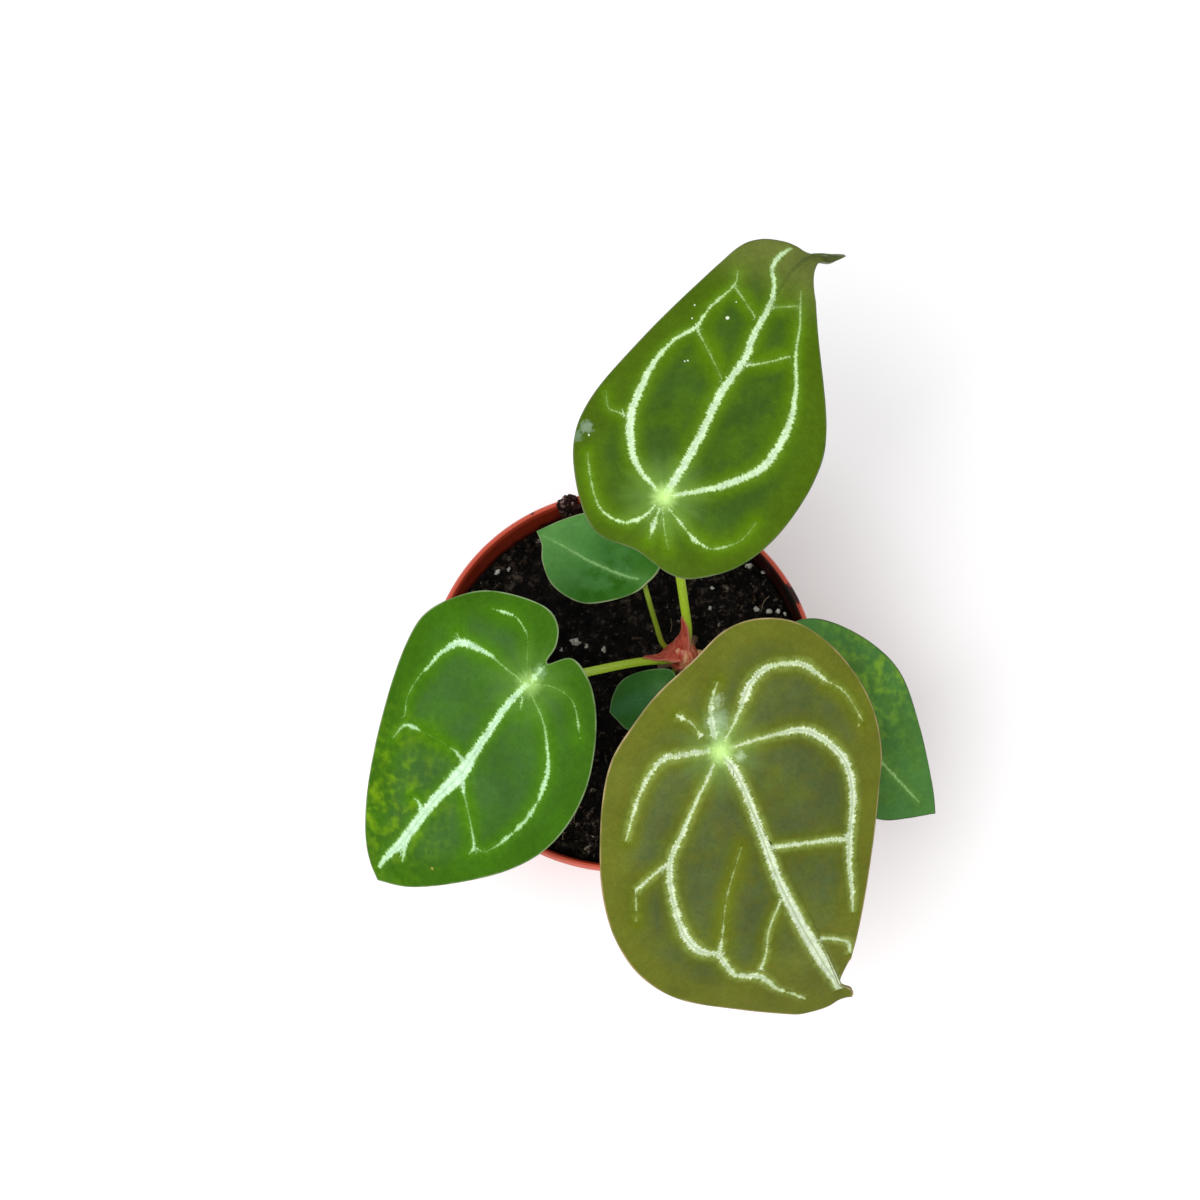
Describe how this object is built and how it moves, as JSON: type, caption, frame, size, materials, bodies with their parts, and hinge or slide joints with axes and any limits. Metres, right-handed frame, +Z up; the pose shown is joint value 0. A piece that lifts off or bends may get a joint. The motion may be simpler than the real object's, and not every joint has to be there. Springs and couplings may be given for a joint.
{
  "type": "potted anthurium forgetii",
  "caption": "Young potted anthurium forgetii: oval velvety leaves with silver veins on slim stalks, over black potting mix in a tapered round terracotta-coloured nursery pot",
  "frame": {"origin": "on the pot's axis, at the level of the surface that the pot stands on", "axes": "+Z up along the pot's axis, -Y towards the side where the largest leaf hangs over the rim, +X to the right as seen from that side"},
  "size_m": [0.1457, 0.185, 0.1772],
  "materials": {
    "pot": "satin, lightly scuffed",
    "potting_mix": "moist, crumbly",
    "crown": "matt, ringed",
    "cataphyll": "satin, streaked",
    "petiole": "satin",
    "leaf_green": "velvety, with silver veins",
    "leaf_bronze": "velvety, with silver veins",
    "leaf_juvenile": "satin, with fine pale veins"
  },
  "bodies": {
    "root": {"pot": "pot", "soil": "potting_mix", "crown": "crown", "cataphyll_back": "cataphyll", "cataphyll_side": "cataphyll", "petiole_back": "petiole", "blade_back": "leaf_green", "petiole_left": "petiole", "blade_left": "leaf_green", "petiole_front": "petiole", "blade_front": "leaf_bronze", "petiole_right": "petiole", "blade_right": "leaf_green", "petiole_small_back": "petiole", "blade_small_back": "leaf_juvenile", "petiole_small_low": "petiole", "blade_small_low": "leaf_juvenile"}
  },
  "joints": []
}
